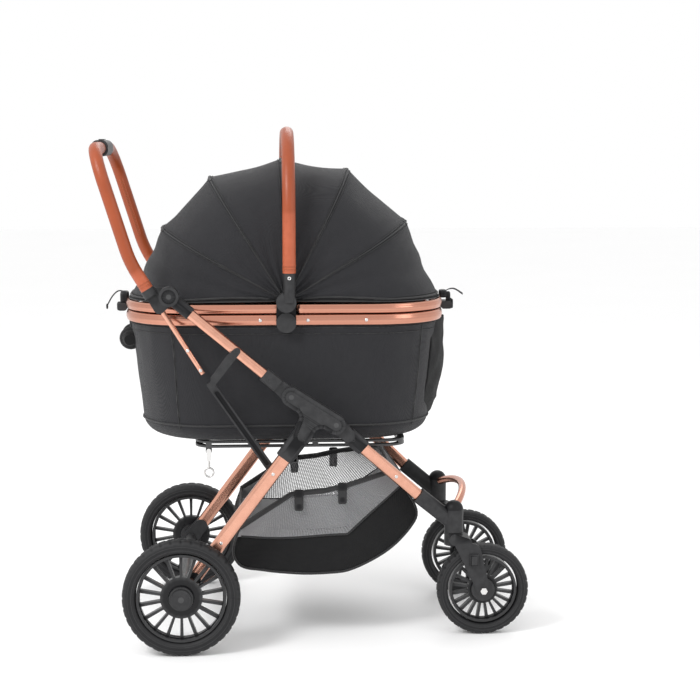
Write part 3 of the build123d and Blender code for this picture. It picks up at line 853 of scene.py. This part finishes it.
def tyre(node, body):
    """Tyre with two rows of staggered tread blocks, at the CAD tyre's place and size."""
    low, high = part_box(node)
    centre = (low + high) / 2
    radius, half = (high.z - low.z) / 2, (high.y - low.y) / 2
    mid, tall = radius * (1 + BEAD_SHARE) / 2, radius * (1 - BEAD_SHARE) / 2
    section = tyre_section(mid, tall, half)

    def tread(k, i):
        height, r = section[k]
        if r < mid + tall * 0.55:
            return 0.0
        if abs(height) < half * 0.10:
            return GROOVE_DEPTH
        stagger = TREAD_PITCH // 2 if height > 0 else 0
        return TREAD_DEPTH if (i + stagger) % TREAD_PITCH in (0, 1) else 0.0

    shape = Shape()
    shape.lathe(section, centre, Vector((0, 1, 0)), 0, TYRE_SIDES, tread)
    for shift in (-1, 1):
        for share in SIDEWALL_RIBS:
            r = radius * share
            shape.tube([centre + Vector((r * math.cos(a), shift * half * 0.985, r * math.sin(a)))
                        for a in circle(96)], 0.0008, sides=6)
    piece = shape.build(node + "_treaded", [TYRE], body, merge=0.00001)
    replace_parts(piece, node)


for kind in ("front", "rear"):
    for side in ("left", "right"):
        tyre(f"{kind}_tyre_{side}", f"{kind}_wheel_{side}")


# ---------------------------------------------------------------- rivets and screws
# Sections as (height above the surface, radius); places are (x, y, z) on the left side.
RIVET = [(-0.0006, 0.0), (-0.0006, 0.0036), (0.0002, 0.0036), (0.0009, 0.0030), (0.0014, 0.0018),
         (0.0015, 0.0010), (0.0010, 0.0007), (0.0010, 0.0)]
SCREW = [(-0.0006, 0.0), (-0.0006, 0.0038), (0.0003, 0.0038), (0.0007, 0.0034), (0.0007, 0.0016),
         (-0.0004, 0.0014), (-0.0004, 0.0)]
FASTENERS = {
    "chassis_rivets": ("chassis", RIVET, STEEL, [
        (-0.0825, 0.2352, 0.358), (-0.187, 0.2352, 0.219), (-0.198, 0.2352, 0.204)]),
    "front_leg_rivets": ("front_frame", RIVET, STEEL, [(0.1677, 0.1862, 0.3395)]),
    "lever_tube_rivets": ("handle", RIVET, STEEL, [(-0.2495, 0.2056, 0.603), (-0.2245, 0.2056, 0.563)]),
    "lower_rim_rivets": ("carrier", RIVET, STEEL, [
        (-0.1056, 0.1861, 0.660), (-0.0105, 0.1861, 0.660), (0.1065, 0.1861, 0.660)]),
    "clip_screws": ("upper_frame", SCREW, PLASTIC_SMOOTH, [
        (-0.154, 0.2391, 0.606), (-0.090, 0.2374, 0.5475)]),
    "front_collar_screws": ("front_frame", SCREW, PLASTIC_SMOOTH, [
        (0.078, 0.2240, 0.4235), (0.247, 0.1605, 0.2664)]),
    "carry_sleeve_screws": ("carry", SCREW, STEEL, [(-0.048, 0.2182, 0.7467)]),
}


def fasteners(name, body, section, material, places):
    shape = Shape()
    for side in SIDES:
        for x, y, z in places:
            shape.lathe(section, Vector((x, side * y, z)), Vector((0, side, 0)), 0, 18)
    return shape.build(name, [material], body, merge=0.00002)


for name, (body, section, material, places) in FASTENERS.items():
    fasteners(name, body, section, material, places)


# ---------------------------------------------------------------- leather stitching
HANDLE_RADIUS, CARRY_RADIUS = 0.01275, 0.013
HANDLE_LOW, HANDLE_BEND, HANDLE_TOP = (-0.327, 0.726), (-0.360, 0.780), (-0.4285, 1.0)   # (x, z)
HANDLE_Y, CARRY_Y = 0.212, 0.206
BAND_GAP, BAND_STITCHES = 0.0045, 18
LACE_PITCH, LACE_HALF, LACE_EDGE = 0.0035, 0.0026, 0.0034


def stitched_band(shape, centre, way, radius):
    """Two rings of short stitches round a sleeve, with the raised fold between them."""
    way = way.normalized()
    u, v = across(way)
    for row in (0.0, BAND_GAP):
        for k in range(BAND_STITCHES):
            start = 2 * math.pi * k / BAND_STITCHES
            turns = [start + 0.6 * step * math.pi / BAND_STITCHES for step in range(3)]
            shape.tube([centre + way * row + (u * math.cos(t) + v * math.sin(t)) * (radius + 0.0002)
                        for t in turns], 0.0006, sides=6)
    for edge in (-0.5 * BAND_GAP, 1.5 * BAND_GAP):
        shape.tube([centre + way * edge + (u * math.cos(t) + v * math.sin(t)) * (radius - 0.0001)
                    for t in circle(32)], 0.0008, 1, sides=6)


def zigzag(shape, start, end, inward, lift):
    """Lacing seam along the inner side of a leather sleeve."""
    side = (end - start).normalized().cross(inward).normalized()
    count = int((end - start).length / LACE_PITCH)
    seam = []
    for k in range(count):
        edge = side * (LACE_HALF if k % 2 else -LACE_HALF)
        seam.append(start.lerp(end, k / count) + edge + inward * (lift - 0.0001))
    for a, b in zip(seam, seam[1:]):
        shape.tube([a, (a + b) / 2 + inward * 0.0003, b], 0.00055, sides=5)
    for edge in (-LACE_EDGE, LACE_EDGE):
        line = [start.lerp(end, k / 20) + side * edge + inward * (lift - 0.0004) for k in range(21)]
        shape.tube(line, 0.0006, 1, sides=5)


def push_handle_stitches():
    shape = Shape()
    for side in SIDES:
        low, bend, top = [Vector((x, side * HANDLE_Y, z)) for x, z in (HANDLE_LOW, HANDLE_BEND, HANDLE_TOP)]
        way = (bend - low).normalized()
        stitched_band(shape, low + way * 0.008, way, HANDLE_RADIUS)
        inward = Vector((0, -side, 0))
        zigzag(shape, bend.lerp(top, 0.13), bend.lerp(top, 0.69), inward, HANDLE_RADIUS)
    return shape.build("push_handle_stitching", [THREAD, LEATHER], "handle")


def carry_handle_stitches():
    shape = Shape()
    up = Vector((0, 0, 1))
    for side in SIDES:
        low = Vector((-0.048, side * CARRY_Y, 0.764))
        stitched_band(shape, low, up, CARRY_RADIUS)
        zigzag(shape, low + up * 0.012, low + up * 0.108, Vector((0, -side, 0)), CARRY_RADIUS)
    return shape.build("carry_handle_stitching", [THREAD, LEATHER], "carry")


push_handle_stitches()
carry_handle_stitches()


# ---------------------------------------------------------------- closures at the rim's ends
# Blocks as (centre, half size).
FRONT_BLOCKS = [((0.281, 0, 0.6945), (0.008, 0.014, 0.0085)), ((0.2925, 0, 0.687), (0.0045, 0.010, 0.012))]
FRONT_PRONG = (0.0025, 0.0025, 0.010)
FRONT_PRONGS = [(0.2995, -0.0105, 0.674), (0.2995, 0.0105, 0.674)]
FRONT_PULL = [(0.287, 0, 0.7005), (0.297, 0.001, 0.7045), (0.308, 0.002, 0.7035), (0.3235, 0.003, 0.6935)]
REAR_BLOCKS = [((-0.388, 0, 0.690), (0.009, 0.015, 0.014)), ((-0.398, 0, 0.672), (0.006, 0.012, 0.009))]
REAR_PULL = [(-0.390, 0.002, 0.7025), (-0.402, 0.004, 0.7030), (-0.414, 0.006, 0.6920),
             (-0.4245, 0.007, 0.6740)]


def flared_pull(shape, line):
    """A flat tongue that widens towards its end."""
    rings = []
    for k, p in enumerate(line):
        share = k / (len(line) - 1)
        wide, tall = 0.0030 + 0.0040 * share ** 2, 0.0012 + 0.0014 * share ** 2
        rings.append([p + Vector((0, wide * math.cos(t), tall * math.sin(t))) for t in circle(14)[:-1]])
    shape.grid(rings, 1, wrap=True)
    shape.cap(rings[0], 1)
    shape.cap(rings[-1], 1, flip=True)


def front_closure():
    """Buckle block with its two prongs and the flared zip pull."""
    shape = Shape()
    for centre, half in FRONT_BLOCKS:
        shape.block(centre, half, 0, 4.5)
    for centre in FRONT_PRONGS:
        shape.block(centre, FRONT_PRONG, 0, 4.0)
    flared_pull(shape, spline(FRONT_PULL, 7))
    return shape.build("front_closure_and_pull", [PLASTIC, BINDING], "carrier")


def rear_closure():
    """Toggle block with its short pull."""
    shape = Shape()
    for centre, half in REAR_BLOCKS:
        shape.block(centre, half, 0, 4.5)
    shape.tube(spline(REAR_PULL, 8), 0.0014, 1)
    shape.block((-0.4255, 0.007, 0.6705), (0.0022, 0.0030, 0.0055), 1, 3.0)
    return shape.build("rear_closure_and_pull", [PLASTIC, BINDING], "carrier")


front_closure()
rear_closure()


# ---------------------------------------------------------------- stage, light and camera
FLOOR_SIZE = 30.0
CAMERA_PLACE, CAMERA_LENS = (-0.1155, -3.367, 1.019), 82.5
CAMERA_YAW, CAMERA_PITCH = math.radians(3.4), math.radians(7.5)
LIGHTS = {   # place, target, size in metres, power in watts
    "key": ((-1.9, -1.9, 2.7), (0, 0, 0.55), 1.0, 60),
    "fill": ((2.4, -1.8, 1.6), (0, 0, 0.5), 1.2, 9),
    "rim": ((0.4, 2.6, 2.6), (0, 0, 0.7), 1.4, 16),
}


def stage():
    bpy.ops.mesh.primitive_plane_add(size=FLOOR_SIZE, location=(0, 0, 0))
    floor = bpy.context.object
    floor.name = "studio_floor"
    floor.data.materials.append(FLOOR)
    world = bpy.data.worlds.new("studio")
    bpy.context.scene.world = world
    world.use_nodes = True
    background = world.node_tree.nodes["Background"]
    background.inputs["Color"].default_value = (1.0, 1.0, 1.0, 1.0)
    background.inputs["Strength"].default_value = 1.0


def area_light(name, place, target, size, power):
    data = bpy.data.lights.new(name, "AREA")
    data.energy, data.size = power, size
    light = bpy.data.objects.new(name, data)
    light.location = place
    light.rotation_euler = (Vector(target) - Vector(place)).to_track_quat("-Z", "Y").to_euler()
    bpy.context.scene.collection.objects.link(light)


def camera():
    data = bpy.data.cameras.new("photo view")
    data.lens = CAMERA_LENS
    eye = bpy.data.objects.new("photo view", data)
    eye.location = CAMERA_PLACE
    eye.rotation_euler = (math.pi / 2 - CAMERA_PITCH, 0, -CAMERA_YAW)
    bpy.context.scene.collection.objects.link(eye)
    bpy.context.scene.camera = eye


stage()
for name, (place, target, size, power) in LIGHTS.items():
    area_light(name, place, target, size, power)
camera()
bpy.context.scene.view_settings.view_transform = "Standard"
